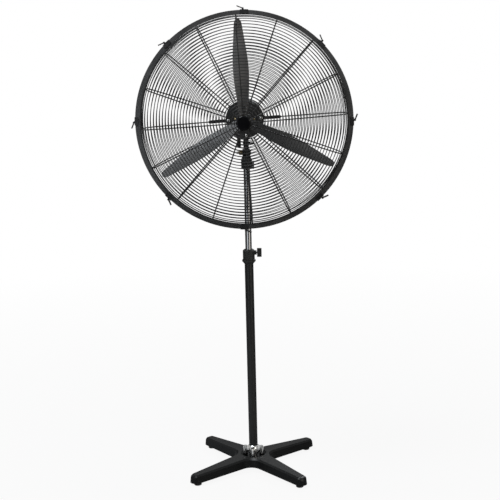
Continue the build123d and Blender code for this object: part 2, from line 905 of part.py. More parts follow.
with BuildPart() as motor_front_bell:
    revolve(
        outline(
            side,
            (motor_front, shaft_hole),
            (motor_front, motor_face_radius - tube_wall),
            (motor_front - tube_wall, motor_face_radius),
            (motor_front - motor_face_thickness, motor_face_radius),
            (motor_front - motor_face_thickness, motor_radius),
            (motor_middle, motor_radius),
            (motor_middle, stator_radius + weld_gap),
            (stator_front, stator_radius + weld_gap),
            (stator_front, bell_cavity),
            (motor_front - bell_wall, bell_cavity),
            (motor_front - bell_wall, bearing_wall),
            (front_bearing, bearing_wall),
            (front_bearing, bearing_seat),
            (motor_front - bell_wall, bearing_seat),
            (motor_front - bell_wall, shaft_hole),
        ),
        axis=fan_axis,
    )
    ribs = bell_ribs().moved(Location((0, -motor_middle, 0)))
    extrude(ribs, amount=motor_length / 2 - motor_face_thickness, mode=Mode.SUBTRACT)
    add(through_bolt_holes(fan.offset(motor_middle), motor_length / 2), mode=Mode.SUBTRACT)
    # A shallow round recess in the face, as a die-cast bell has
    extrude(
        ring_face(fan.offset(motor_front), face_recess, bearing_wall),
        amount=-tube_wall,
        mode=Mode.SUBTRACT,
    )
pieces["motor_front_bell"] = motor_front_bell.part

with BuildPart() as stator_core:
    extrude(
        ring_face(fan.offset(stator_back), stator_radius, rotor_radius + air_gap), amount=stator_length
    )
pieces["stator_core"] = stator_core.part

with BuildPart() as stator_windings:
    for start in (stator_back - pass_gap - winding_length, stator_front + pass_gap):
        extrude(ring_face(fan.offset(start), winding_outer, winding_inner), amount=winding_length)
    fillet(stator_windings.edges(), winding_length / 3)
pieces["stator_windings"] = stator_windings.part

with BuildPart() as motor_bearings:
    for start in (rear_bearing, front_bearing):
        extrude(
            ring_face(fan.offset(start), bearing_radius, shaft_radius + running_fit),
            amount=bearing_width,
        )
pieces["motor_bearings"] = motor_bearings.part

# Rear cover with vents, the control board, the power button and the cord gland

with BuildPart() as rear_cover:
    corner = (cover_back + cover_round, cover_radius - cover_round)
    with BuildSketch(side):
        with BuildLine():
            outer = CenterArc(corner, cover_round, 90, 90)
            inner = CenterArc(corner, cover_round - cover_wall, 90, 90)
            Polyline(
                outer @ 0,
                (plate_back, cover_radius),
                (plate_back, cover_radius - cover_wall),
                inner @ 0,
            )
            Polyline(outer @ 1, (cover_back, 0), (cover_back + cover_wall, 0), inner @ 1)
        make_face()
    revolve(axis=fan_axis)
    # Four posts hold the control board
    post_span = board_width - 4 * cover_wall
    post_rise = board_height - 4 * cover_wall
    with BuildSketch(fan.offset(cover_back + cover_wall / 2)):
        with Locations((0, button_height)):
            with GridLocations(post_span, post_rise, 2, 2):
                Circle(cover_wall)
    extrude(amount=board_stand - cover_wall / 2)
    # The hub and its web leave through a slot in the underside
    with BuildSketch(Plane.XY.offset(fan_height - cover_radius)):
        with Locations((0, (hub_radius - plate_back) / 2)):
            Rectangle(2 * hub_radius + 2 * cover_wall, hub_radius + plate_back + 2 * cover_wall)
    extrude(amount=cover_radius / 2, mode=Mode.SUBTRACT)
    back_plane = fan.offset(cover_back)
    with BuildSketch(back_plane):
        with Locations((0, -button_height / 2)):
            with GridLocations(0, vent_pitch, 1, vent_count):
                SlotOverall(vent_length, vent_width)
        with Locations((0, button_height)):
            Circle(button_radius + pass_gap)
    extrude(amount=cover_wall, mode=Mode.SUBTRACT)
    gland_plane = Plane(origin=(-gland_side, gland_reach, fan_height))
    extrude(disc(gland_plane, gland_radius + weld_gap), amount=-cover_radius, mode=Mode.SUBTRACT)
pieces["rear_cover"] = rear_cover.part

with BuildPart() as control_board:
    with BuildSketch(fan.offset(board_place)):
        with Locations((0, button_height)):
            Rectangle(board_width, board_height)
    extrude(amount=board_thickness)
    # Relay, receiver and terminal blocks on the board's front
    with BuildSketch(fan.offset(board_place + board_thickness)):
        with Locations((0, button_height)):
            with GridLocations(board_width / 4, 0, 3, 1):
                Rectangle(board_width / 6, board_height / 2)
    extrude(amount=board_stand / 2)
pieces["control_board"] = control_board.part

with BuildPart() as power_button:
    button_inner = board_place - board_thickness - button_travel
    with BuildSketch(fan.offset(cover_back - button_proud)):
        with Locations((0, button_height)):
            Circle(button_radius)
    extrude(amount=button_inner - cover_back + button_proud)
    fillet(power_button.edges().sort_by(Axis.Y)[-1], button_proud / 4)
pieces["power_button"] = power_button.part

with BuildPart() as cord_gland:
    nut_side = gland_side - gland_nut_radius
    nut_top = fan_height - (cover_radius**2 - nut_side**2) ** 0.5 - running_fit
    stem_top = nut_top + gland_rise
    foot = Plane(origin=(-gland_side, gland_reach, gland_bottom))
    extrude(disc(foot, gland_radius), amount=stem_top - gland_bottom)
    chamfer(cord_gland.edges().group_by(Axis.Z)[0], gland_radius / 4)
    with BuildSketch(foot.offset(nut_top - gland_bottom)):
        RegularPolygon(gland_nut_radius, 6)
    extrude(amount=-gland_radius)
    extrude(disc(foot, gland_bore), amount=stem_top - gland_bottom, mode=Mode.SUBTRACT)
pieces["cord_gland"] = cord_gland.part

# Guards: bent spokes under rings at an even pitch along the profile

def guard_spoke(plane, start):
    """One spoke along the dome, the shoulder and the lip, in the plane of radius and depth."""
    start_angle = degrees(asin(start / dome_radius))
    shoulder_middle = (lip_start - shoulder_radius, shoulder_drop)
    with BuildPart() as spoke:
        with BuildLine(plane) as path:
            CenterArc((0, dome_radius), dome_radius, start_angle - 90, dome_angle - start_angle)
            CenterArc(shoulder_middle, shoulder_radius, dome_angle - 90, 90 - dome_angle)
            lip = CenterArc((lip_start + lip_radius, shoulder_drop), lip_radius, 180, -90)
            Line(lip @ 1, (end_radius + end_wire / 3, lip_drop))
        with BuildSketch(Plane(origin=path.line @ 0, z_dir=path.line % 0)):
            Circle(spoke_wire / 2)
        sweep(path=path.line)
    return spoke.part


def guard_rings(start, place):
    """Face rings and side rings of a guard; place turns a depth into a place along the axis."""
    rise = (spoke_wire + ring_wire) / 2 + weld_gap
    first = dome_radius * asin(start / dome_radius)
    bend = dome_radius * radians(dome_angle)
    last = bend + shoulder_radius * radians(shoulder_end - dome_angle)
    count = round((last - first) / ring_pitch) + 1
    face_rings = []
    side_rings = [Location(fan.offset(place(end_drop))) * Torus(end_radius, end_wire / 2)]
    for k in range(count):
        run = first + (last - first) * k / (count - 1)
        on_dome = run <= bend
        angle = run / dome_radius if on_dome else radians(dome_angle) + (run - bend) / shoulder_radius
        sweep_radius = (dome_radius if on_dome else shoulder_radius) + rise
        middle = 0 if on_dome else lip_start - shoulder_radius
        depth = dome_radius if on_dome else shoulder_drop
        plane = fan.offset(place(depth - sweep_radius * cos(angle)))
        ring = Location(plane) * Torus(middle + sweep_radius * sin(angle), ring_wire / 2)
        (face_rings if on_dome else side_rings).append(ring)
    return face_rings, side_rings


def front_place(depth):
    """Place along the axis of a depth behind the front guard's middle."""
    return front_centre - depth


def rear_place(depth):
    """Place along the axis of a depth ahead of the rear guard's middle."""
    return rear_centre + depth


for guard, plane, spoke_start, ring_start, place in (
    ("front_guard", front_guard, front_spoke_start, front_ring_start, front_place),
    ("rear_guard", rear_guard, rear_spoke_start, rear_ring_start, rear_place),
):
    face_rings, side_rings = guard_rings(ring_start, place)
    spokes = around_fan(guard_spoke(plane, spoke_start), spoke_count, guard_turn)
    half = len(face_rings) // 2
    pieces[guard + "_inner_rings"] = Part(children=face_rings[:half])
    pieces[guard + "_outer_rings"] = Part(children=face_rings[half:])
    pieces[guard + "_side_rings"] = Part(children=side_rings)
    pieces[guard + "_spokes"] = Part(children=spokes)

with BuildPart() as rear_guard_bars:
    first_angle = degrees(asin(bar_start / dome_radius))
    bar_angle = degrees(asin(bar_end / dome_radius)) - first_angle
    bar_back = dome_radius - spoke_wire / 2 - weld_gap
    with BuildSketch(rear_guard):
        with BuildLine():
            back = CenterArc((0, dome_radius), bar_back, first_angle - 90, bar_angle)
            front = CenterArc((0, dome_radius), bar_back - bar_thickness, first_angle - 90, bar_angle)
            Line(back @ 0, front @ 0)
            Line(back @ 1, front @ 1)
        make_face()
    revolve(axis=fan_axis)
    with BuildSketch(fan.offset(rear_centre)):
        with PolarLocations((bar_start + bar_end) / 2, bar_count, start_angle=guard_turn):
            SlotOverall(bar_end - bar_start, bar_width)
    extrude(amount=guard_depth, mode=Mode.INTERSECT)
    add(through_bolt_holes(fan.offset(rear_centre), guard_depth), mode=Mode.SUBTRACT)
pieces["rear_guard_bars"] = rear_guard_bars.part

with BuildPart() as through_bolts:
    bar_face = dome_depth(through_bolt_reach + through_bolt_head) + spoke_wire / 2 + bar_thickness
    head_plane = fan.offset(rear_centre + bar_face + running_fit)
    extrude(
        discs(fan.offset(bolt_end), through_bolt_radius, through_bolt_reach, bar_count, guard_turn),
        amount=rear_centre + bar_face + running_fit - bolt_end,
    )
    extrude(
        discs(head_plane, through_bolt_head, through_bolt_reach, bar_count, guard_turn),
        amount=through_bolt_head_height,
    )
    fillet(through_bolts.edges().group_by(Axis.Y)[0], through_bolt_head_height / 2)
pieces["through_bolts"] = through_bolts.part

with BuildPart() as front_cap:
    cap_back = front_centre + spoke_wire / 2 + weld_gap
    cap_boss = front_spoke_start - pass_gap
    revolve(
        outline(
            side,
            (front_centre - cap_boss_depth, 0),
            (front_centre - cap_boss_depth, cap_boss),
            (cap_back, cap_boss),
            (cap_back, cap_radius),
            (cap_back + cap_depth, cap_radius),
            (cap_back + cap_depth, 0),
        ),
        axis=fan_axis,
    )
    fillet(front_cap.edges().group_by(Axis.Y)[0], cap_bevel)
pieces["front_cap"] = front_cap.part

with BuildPart() as guard_hoop:
    revolve(
        outline(
            side,
            (rim_place - hoop_half, hoop_mouth),
            (rim_place - hoop_half, hoop_radius),
            (rim_place + hoop_half, hoop_radius),
            (rim_place + hoop_half, hoop_mouth),
            (rim_place + hoop_half - hoop_sheet, hoop_mouth),
            (rim_place + hoop_half - hoop_sheet, hoop_radius - hoop_sheet),
            (rim_place - hoop_half + hoop_sheet, hoop_radius - hoop_sheet),
            (rim_place - hoop_half + hoop_sheet, hoop_mouth),
        ),
        axis=fan_axis,
    )
pieces["guard_hoop"] = guard_hoop.part

# Rim clips: a saddle over the hoop with two ears and a riveted pin, and a lever on the pin

saddle_radius = hoop_radius + weld_gap + saddle_sheet
saddle_half = hoop_half + weld_gap + saddle_sheet
pin_place = saddle_radius + pass_gap + knuckle_radius


def saddle_face(plane, inner):
    """The part of a ring that one saddle covers."""
    with BuildSketch(plane) as face:
        Circle(saddle_radius)
        Circle(inner, mode=Mode.SUBTRACT)
        with Locations((saddle_radius, 0)):
            Rectangle(saddle_length, saddle_length, mode=Mode.INTERSECT)
    return face.sketch


with BuildPart() as saddle:
    near = rim_place - saddle_half
    extrude(saddle_face(fan.offset(near), hoop_radius + weld_gap), amount=2 * saddle_half)
    extrude(saddle_face(fan.offset(near), saddle_inner), amount=saddle_sheet)
    far = rim_place + saddle_half - saddle_sheet
    extrude(saddle_face(fan.offset(far), saddle_inner), amount=saddle_sheet)
    for ear in (rim_place - ear_half - ear_sheet, rim_place + ear_half):
        with BuildSketch(fan.offset(ear)):
            with Locations((pin_place, pin_offset)):
                Circle(knuckle_radius)
            with Locations(((pin_place + saddle_radius - saddle_sheet) / 2, pin_offset)):
                Rectangle(pin_place - saddle_radius + saddle_sheet, 2 * knuckle_radius)
        extrude(amount=ear_sheet)
    with BuildSketch(fan.offset(rim_place - ear_half - ear_sheet)):
        with Locations((pin_place, pin_offset)):
            Circle(pin_radius)
    extrude(amount=2 * ear_half + 2 * ear_sheet)

with BuildPart() as lever:
    knuckle_half = ear_half - pass_gap
    with BuildSketch(fan.offset(rim_place - knuckle_half)):
        with Locations((pin_place, pin_offset)):
            Circle(knuckle_radius)
    extrude(amount=2 * knuckle_half)
    tail_out = tail_length / 2 * sin(radians(tail_flare))
    tail_along = tail_length / 2 * cos(radians(tail_flare))
    with BuildSketch(fan.offset(rim_place - tail_half)):
        with Locations((pin_place + tail_out, pin_offset + tail_along)):
            Rectangle(tail_sheet, tail_length, rotation=-tail_flare)
    extrude(amount=2 * tail_half)
    with BuildSketch(fan.offset(rim_place - knuckle_half)):
        with Locations((pin_place, pin_offset)):
            Circle(pin_radius + running_fit)
    extrude(amount=2 * knuckle_half, mode=Mode.SUBTRACT)

pieces["clip_saddles"] = Part(children=around_fan(saddle.part, clip_count, clip_turn))
for number, turned in enumerate(around_fan(lever.part, clip_count, clip_turn), start=1):
    pieces[f"clip_lever_{number}"] = turned

# Rotor: the shaft and core, a hub with three canted pads, and twisted leaf-shaped blades

hub_back = blade_place - hub_boss_length / 2
hub_front = blade_place + hub_boss_length / 2


def blade_plane(radius, pitch):
    """A plane across a blade at a radius, with its x along the chord and its y forward."""
    lean = radians(pitch)
    return Plane(
        origin=(radius, -blade_place, fan_height),
        x_dir=(0, -sin(lean), cos(lean)),
        z_dir=(1, 0, 0),
    )


def screw_plane_at(radius):
    """A plane on the blade's root at a screw, facing forward."""
    lean = radians(root_pitch)
    return Plane(
        origin=(radius, -blade_place, fan_height),
        x_dir=(1, 0, 0),
        z_dir=(0, -cos(lean), -sin(lean)),
    )


def blade_section(radius, pitch, camber):
    """A cambered strip of sheet across the blade."""
    half = blade_sheet / 2
    wide = blade_chord_half
    with BuildSketch(blade_plane(radius, pitch)) as section:
        with BuildLine():
            top = ThreePointArc((-wide, half - camber), (0, half), (wide, half - camber))
            low = ThreePointArc((-wide, -half - camber), (0, -half), (wide, -half - camber))
            Line(top @ 0, low @ 0)
            Line(top @ 1, low @ 1)
        make_face()
    return section.sketch


with BuildPart() as blade:
    loft(
        [
            blade_section(blade_root - blade_sheet, root_pitch, blade_sheet / 2),
            blade_section(root_flat_end, root_pitch, blade_sheet / 2),
            blade_section(blade_wide_at, mid_pitch, blade_camber),
            blade_section(blade_radius + blade_sheet, tip_pitch, blade_camber),
        ]
    )
    with BuildSketch(fan.offset(blade_place - blade_chord_half)):
        with BuildLine():
            for side in (1, -1):
                Spline(
                    (blade_root, side * blade_root_half),
                    (blade_wide_at, side * blade_wide_half),
                    (blade_end_at, side * blade_end_half),
                    (blade_radius, 0),
                    tangents=(
                        (blade_wide_at - blade_root, side * (blade_wide_half - blade_root_half)),
                        (0, -side),
                    ),
                )
            Line((blade_root, blade_root_half), (blade_root, -blade_root_half))
        make_face()
    extrude(amount=2 * blade_chord_half, mode=Mode.INTERSECT)
    for reach in blade_screw_places:
        extrude(
            disc(screw_plane_at(reach), blade_screw_radius + weld_gap),
            amount=blade_sheet,
            both=True,
            mode=Mode.SUBTRACT,
        )
pieces["fan_blades"] = Part(children=around_fan(blade.part, blade_count, blade_turn))

pad_front = blade_sheet / 2 + pass_gap
with BuildPart() as pad:
    with BuildSketch(blade_plane(0, root_pitch)):
        with Locations((0, -pad_front - pad_thickness / 2)):
            Rectangle(pad_width, pad_thickness)
    extrude(amount=pad_end)
    for reach in blade_screw_places:
        extrude(
            disc(screw_plane_at(reach), blade_screw_radius + weld_gap),
            amount=pad_width,
            both=True,
            mode=Mode.SUBTRACT,
        )

with BuildPart() as blade_hub:
    extrude(disc(fan.offset(hub_back), hub_boss_radius), amount=hub_boss_length)
    add(around_fan(pad.part, blade_count, blade_turn))
    extrude(
        disc(fan.offset(hub_back - pad_width), shaft_radius + weld_gap),
        amount=hub_boss_length + 2 * pad_width,
        mode=Mode.SUBTRACT,
    )
pieces["blade_hub"] = blade_hub.part

with BuildPart() as blade_screw_pair:
    for reach in blade_screw_places:
        head_plane = screw_plane_at(reach).offset(blade_sheet / 2 + running_fit)
        extrude(disc(head_plane, blade_screw_head), amount=blade_screw_head_height)
        extrude(
            disc(head_plane, blade_screw_radius),
            amount=-blade_sheet - running_fit - pass_gap - pad_thickness,
        )
screw_pairs = around_fan(blade_screw_pair.part, blade_count, blade_turn)
pieces["blade_screws"] = Part(children=[screw for pair in screw_pairs for screw in pair.solids()])

with BuildPart() as hub_nut:
    with BuildSketch(fan.offset(hub_front)):
        RegularPolygon(hub_nut_radius, 6)
        Circle(shaft_radius + weld_gap, mode=Mode.SUBTRACT)
    extrude(amount=hub_nut_length)
pieces["hub_nut"] = hub_nut.part

with BuildPart() as motor_shaft:
    shaft_front = hub_front + hub_nut_length + tube_wall
    extrude(disc(fan.offset(rear_bearing), shaft_radius), amount=shaft_front - rear_bearing)
    chamfer(motor_shaft.edges().group_by(Axis.Y)[0], tube_wall / 2)
pieces["motor_shaft"] = motor_shaft.part

with BuildPart() as rotor_core:
    extrude(
        ring_face(fan.offset(stator_back), rotor_radius, shaft_radius + weld_gap), amount=stator_length
    )
pieces["rotor_core"] = rotor_core.part

for name, piece in pieces.items():
    piece.label = name
    export_step(piece, f"parts/{name}.step")
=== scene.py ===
"""Looks, small details and studio stage of the pedestal fan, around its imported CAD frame."""

import math

import bmesh
import bpy
import numpy as np
from bpy.props import FloatProperty, FloatVectorProperty, IntProperty, PointerProperty
from mathutils import Matrix, Vector


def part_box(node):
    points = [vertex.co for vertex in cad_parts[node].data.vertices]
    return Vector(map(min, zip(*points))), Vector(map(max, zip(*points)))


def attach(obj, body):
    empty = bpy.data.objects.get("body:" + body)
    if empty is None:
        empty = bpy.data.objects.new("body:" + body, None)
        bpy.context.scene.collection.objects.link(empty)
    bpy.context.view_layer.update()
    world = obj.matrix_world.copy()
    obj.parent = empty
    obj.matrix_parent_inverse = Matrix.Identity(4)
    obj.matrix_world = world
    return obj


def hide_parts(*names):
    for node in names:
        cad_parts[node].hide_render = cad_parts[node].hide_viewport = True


bl_info = {
    "name": "Pedestal Fan Looks",
    "version": (1, 0, 0),
    "blender": (4, 5, 0),
    "location": "View3D > Sidebar > Fan",
    "description": "Finishes, small details and a studio stage for a pedestal fan",
    "category": "Object",
}

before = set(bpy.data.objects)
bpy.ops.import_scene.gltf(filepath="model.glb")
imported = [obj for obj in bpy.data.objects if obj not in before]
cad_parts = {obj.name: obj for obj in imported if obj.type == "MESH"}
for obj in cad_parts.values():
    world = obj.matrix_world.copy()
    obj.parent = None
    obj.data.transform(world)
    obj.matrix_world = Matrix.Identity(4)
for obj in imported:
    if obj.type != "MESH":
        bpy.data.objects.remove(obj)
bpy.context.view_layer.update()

# Places on the fan, in metres and degrees
FAN_HEIGHT = 1.435
MOTOR_FRONT = -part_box("motor_front_bell")[0].y
GUARD_TURN = 3.2
BOLT_REACH = 0.062
BOLT_COUNT = 4

# Screw heads: how deep they sit, their grid, and their heights and recess in shares of the radius
FACE_SCREW_SINK = 0.0016
FACE_SCREW_TURNS = (0, 180)
BOLT_DOME_SINK = 0.0008
HEAD_STEPS = 48
DOME_ROWS = 14
DOME_CROWDING = 0.8
HEAD_RIM = 0.25
HEAD_DOME = 0.40
RECESS_REACH = 0.62
RECESS_DEPTH = 0.35
RECESS_HALF = 0.1
RECESS_SLOPE = 1.6

# Thread on the tilt bolt
THREAD_ROOT = 0.00495
THREAD_DEPTH = 0.00055
THREAD_START = 0.0002
THREAD_SPARE = 0.0006
ROWS_PER_PITCH = 14

# Front cap
CAP_DEPTH = 0.013
CAP_BOSS = 0.0237
CAP_CROWN = 0.0008
CAP_STEPS = 96
CAP_BEND_ROWS = 14
CAP_FACE_ROWS = 8

# Meshes
SHARP_ANGLE = math.radians(40)
SEAM_GAP = 1e-7

# Noise in the finishes: its roughness, and where on it the change of colour and the roughness start
# and end; the streaks' change of colour is painted reflection on the inner tube
NOISE_ROUGHNESS = 0.55
MOTTLE_FADE_START = 0.35
STREAK_COLOUR_START = 0.3
COLOUR_CHANGE_END = 0.75
ROUGH_START, ROUGH_END = 0.3, 0.7

# Colours that aren't among the add-on's values
RUBBER = (0.016, 0.016, 0.016)
NYLON = (0.62, 0.61, 0.57)
BRONZE = (0.50, 0.35, 0.18)
STEEL = (0.50, 0.50, 0.51)
LAMINATION = (0.30, 0.30, 0.32)
COPPER = (0.55, 0.24, 0.10)
BOARD_GREEN = (0.02, 0.12, 0.05)
CAP_BLACK = (0.003, 0.003, 0.0035)
FLAG_BLACK = (0.02, 0.02, 0.02)
COOL = (0.93, 0.97, 1.0)
WARM = (1.0, 0.93, 0.84)

# Studio: the camera, the floor with its share of plain white by distance, and the lamps
SENSOR_WIDTH = 36.0
CLIP_END = 60.0
FLOOR_RINGS = (0.0, 1.0, 4.0, 18.0)
FLOOR_STEPS = 72
WHITE_NEAR, WHITE_FAR = 0.5, 4.0
NEAR_SHARE, FAR_SHARE = 0.92, 1.0
LAMP_AIM = (0, 0, 0.9)
KEY_LAMP = {"size": 1.4, "place": (-1.6, -1.4, 4.6), "colour": COOL}
FILL_LAMP = {"size": 1.0, "place": (2.6, -2.6, 2.6), "colour": WARM}
BACK_LAMP = {"size": 1.6, "place": (1.3, 3.2, 4.0), "colour": COOL}

# Cards that only reflections show: the material, a line along the floor, and the carry from it
CARD_RISE = 0.002
CARDS = (
    ("front_flag", "Flag cloth", [(-2.4, -7.2), (2.4, -7.2)], (0, 0, 4.5)),
    ("back_flag", "Flag cloth", [(4.6, 1.2), (4.6, 9.0), (-4.6, 9.0), (-4.6, 0.6)], (0, 0, 2.3)),
    ("floor_flag", "Flag cloth", [(-4.6, 0.4), (4.6, 0.4)], (0, 8.6, 0)),
    ("left_card", "Cool paper", [(-2.0, -2.2), (-0.8, -2.9)], (0, 0, 1.7)),
    ("right_card", "Warm paper", [(1.5, -2.6), (2.5, -1.6)], (0, 0, 1.7)),
)


class FanFinishes(bpy.types.PropertyGroup):
    """Colours of the fan's finishes."""

    enamel: FloatVectorProperty(
        name="Base Enamel",
        description="Colour of the cross base",
        subtype="COLOR",
        default=(0.005, 0.0052, 0.0054),
        min=0.0,
        max=1.0,
    )
    tube: FloatVectorProperty(
        name="Tube Paint",
        description="Colour of the outer tube",
        subtype="COLOR",
        default=(0.013, 0.0133, 0.013),
        min=0.0,
        max=1.0,
    )
    wire: FloatVectorProperty(
        name="Wire Paint",
        description="Colour of the guards and the clips",
        subtype="COLOR",
        default=(0.016, 0.016, 0.0165),
        min=0.0,
        max=1.0,
    )
    hoop: FloatVectorProperty(
        name="Hoop Paint",
        description="Colour of the rim hoop",
        subtype="COLOR",
        default=(0.034, 0.0342, 0.035),
        min=0.0,
        max=1.0,
    )
    motor: FloatVectorProperty(
        name="Motor Paint",
        description="Colour of the motor and the neck castings",
        subtype="COLOR",
        default=(0.024, 0.0245, 0.025),
        min=0.0,
        max=1.0,
    )
    blade: FloatVectorProperty(
        name="Blade Paint",
        description="Colour of the blades",
        subtype="COLOR",
        default=(0.105, 0.106, 0.108),
        min=0.0,
        max=1.0,
    )
    plastic: FloatVectorProperty(
        name="Moulded Plastic",
        description="Colour of the collar, the knob, the cover and the gland",
        subtype="COLOR",
        default=(0.017, 0.0175, 0.0172),
        min=0.0,
        max=1.0,
    )
    chrome: FloatVectorProperty(
        name="Chrome",
        description="Colour of the bolted flange",
        subtype="COLOR",
        default=(0.90, 0.90, 0.89),
        min=0.0,
        max=1.0,
    )
    polished_tube: FloatVectorProperty(
        name="Polished Tube",
        description="Colour of the inner tube",
        subtype="COLOR",
        default=(0.45, 0.45, 0.455),
        min=0.0,
        max=1.0,
    )
    zinc: FloatVectorProperty(
        name="Zinc",
        description="Colour of plated screws and bolts",
        subtype="COLOR",
        default=(0.62, 0.62, 0.61),
        min=0.0,
        max=1.0,
    )
    yellow_zinc: FloatVectorProperty(
        name="Yellow Zinc",
        description="Colour of the passivated tilt nut and face screws",
        subtype="COLOR",
        default=(0.62, 0.50, 0.30),
        min=0.0,
        max=1.0,
    )


class FanDetails(bpy.types.PropertyGroup):
    """Sizes of the small details that the CAD nodes leave plain."""

    face_screw_reach: FloatProperty(
        name="Face Screw Reach",
        description="Distance of the two small screws from the fan axis",
        unit="LENGTH",
        default=0.037,
        min=0.025,
        max=0.045,
    )
    face_screw_radius: FloatProperty(
        name="Face Screw Radius",
        description="Radius of a small screw's head",
        unit="LENGTH",
        default=0.0036,
        min=0.002,
        max=0.006,
    )
    bolt_dome_radius: FloatProperty(
        name="Bolt Dome Radius",
        description="Radius of the dome on a through bolt's head",
        unit="LENGTH",
        default=0.0050,
        min=0.003,
        max=0.0058,
    )
    cap_round: FloatProperty(
        name="Cap Rounding",
        description="Radius of the front cap's rounded edge",
        unit="LENGTH",
        default=0.0055,
        min=0.003,
        max=0.012,
    )
    thread_pitch: FloatProperty(
        name="Thread Pitch",
        description="Pitch of the thread on the tilt bolt's end",
        unit="LENGTH",
        default=0.0015,
        min=0.001,
        max=0.003,
    )
    thread_steps: IntProperty(
        name="Thread Steps",
        description="Grid steps round one turn of the thread",
        default=40,
        min=12,
        max=96,
    )


class FanStage(bpy.types.PropertyGroup):
    """Camera, floor and light of the studio."""

    camera_place: FloatVectorProperty(
        name="Camera Place",
        description="Where the camera stands",
        subtype="TRANSLATION",
        default=(0.113, -4.473, 1.800),
    )
    camera_yaw: FloatProperty(
        name="Camera Yaw",
        description="Turn of the view to the left",
        subtype="ANGLE",
        default=math.radians(1.38),
    )
    camera_pitch: FloatProperty(
        name="Camera Pitch",
        description="Turn of the view downwards",
        subtype="ANGLE",
        default=math.radians(11.27),
    )
    camera_roll: FloatProperty(
        name="Camera Roll",
        description="Roll of the camera about its view",
        subtype="ANGLE",
        default=math.radians(-1.38),
    )
    lens: FloatProperty(
        name="Lens",
        description="Focal length for a sensor 36 mm wide",
        default=82.8,
        min=20.0,
        max=200.0,
    )
    floor: FloatVectorProperty(
        name="Floor",
        description="Colour of the floor",
        subtype="COLOR",
        default=(0.30, 0.30, 0.30),
        min=0.0,
        max=1.0,
    )
    world_strength: FloatProperty(
        name="Room Light",
        description="Strength of the even light from all round",
        default=0.11,
        min=0.0,
        max=2.0,
    )
    mirrored_strength: FloatProperty(
        name="Mirrored Room",
        description="Strength of the room as reflections show it",
        default=0.55,
        min=0.0,
        max=1.0,
    )
    key_power: FloatProperty(
        name="Key Light",
        description="Power of the large lamp at the upper left",
        subtype="POWER",
        default=225.0,
        min=0.0,
    )
    back_power: FloatProperty(
        name="Back Light",
        description="Power of the lamp behind",
        subtype="POWER",
        default=110.0,
        min=0.0,
    )
    fill_power: FloatProperty(
        name="Fill Light",
        description="Power of the lamp at the right",
        subtype="POWER",
        default=42.0,
        min=0.0,
    )


# Meshes from grids of points


def grid_faces(rows, columns, wrap_columns):
    """Quads of a grid: each joins a point with its neighbours along the row and the column."""
    r = np.arange(rows - 1)
    c = np.arange(columns if wrap_columns else columns - 1)
    r, c = (a.ravel() for a in np.meshgrid(r, c, indexing="ij"))
    r1, c1 = r + 1, (c + 1) % columns
    return np.stack([r * columns + c, r * columns + c1, r1 * columns + c1, r1 * columns + c], -1)


def close_seams(mesh):
    """Joins points that lie on each other, so poles are closed."""
    work = bmesh.new()
    work.from_mesh(mesh)
    bmesh.ops.remove_doubles(work, verts=work.verts, dist=SEAM_GAP)
    work.to_mesh(mesh)
    work.free()


def surface(name, points, wrap_columns=False):
    """Object from one grid of points, shaped rows by columns by 3, or from a stack of such grids."""
    points = np.asarray(points, float)
    grids = points[None] if points.ndim == 3 else points
    count, rows, columns, _ = grids.shape
    quads = grid_faces(rows, columns, wrap_columns)
    steps = (np.arange(count) * rows * columns)[:, None, None]
    faces = (quads[None] + steps).reshape(-1, 4)
    mesh = bpy.data.meshes.new(name)
    mesh.from_pydata(grids.reshape(-1, 3).tolist(), [], faces.tolist())
    close_seams(mesh)
    mesh.polygons.foreach_set("use_smooth", np.ones(len(mesh.polygons), bool))
    mesh.set_sharp_from_angle(angle=SHARP_ANGLE)
    made = bpy.data.objects.new(name, mesh)
    bpy.context.scene.collection.objects.link(made)
    return made


def turned(profile, steps):
    """Points of a profile of (radius, height) turned about z: (r cos t, r sin t, h)."""
    turn = np.linspace(0, 2 * np.pi, steps, endpoint=False)
    r, h = np.asarray(profile, float).T
    return np.stack(
        [np.outer(r, np.cos(turn)), np.outer(r, np.sin(turn)), np.outer(h, np.ones(steps))], -1
    )


def facing_front(points, origin):
    """Points turned so that their z axis is the fan's front, -Y, and moved to an origin."""
    x, y, z = (1, 0, 0), (0, 0, 1), (0, -1, 0)
    return np.asarray(points) @ np.array([x, y, z], float) + np.asarray(origin, float)


# Shared effects, as shader node groups


def group_tree(name, inputs, outputs):
    """An empty shader group with named sockets; returns its tree, input node and output node."""
    tree = bpy.data.node_groups.new(name, "ShaderNodeTree")
    for label, kind, default in inputs:
        socket = tree.interface.new_socket(label, in_out="INPUT", socket_type=kind)
        socket.default_value = default
    for label, kind in outputs:
        tree.interface.new_socket(label, in_out="OUTPUT", socket_type=kind)
    return tree, tree.nodes.new("NodeGroupInput"), tree.nodes.new("NodeGroupOutput")


def add_noise(tree, vector, scale, detail):
    """A noise node on a vector socket, with its scale from a socket."""
    node = tree.nodes.new("ShaderNodeTexNoise")
    node.inputs["Detail"].default_value = detail
    node.inputs["Roughness"].default_value = NOISE_ROUGHNESS
    tree.links.new(vector, node.inputs["Vector"])
    tree.links.new(scale, node.inputs["Scale"])
    return node.outputs["Fac"]


def add_range(tree, value, low, high, to_low, to_high):
    """A value mapped from one range to another; the target ends are sockets or numbers."""
    node = tree.nodes.new("ShaderNodeMapRange")
    tree.links.new(value, node.inputs["Value"])
    node.inputs["From Min"].default_value = low
    node.inputs["From Max"].default_value = high
    for socket, end in (("To Min", to_low), ("To Max", to_high)):
        if isinstance(end, bpy.types.NodeSocket):
            tree.links.new(end, node.inputs[socket])
        else:
            node.inputs[socket].default_value = end
    return node.outputs["Result"]


def add_mix(tree, factor, first, second):
    """A colour between two colour sockets."""
    node = tree.nodes.new("ShaderNodeMix")
    node.data_type = "RGBA"
    tree.links.new(factor, node.inputs["Factor"])
    tree.links.new(first, node.inputs["A"])
    tree.links.new(second, node.inputs["B"])
    return node.outputs["Result"]


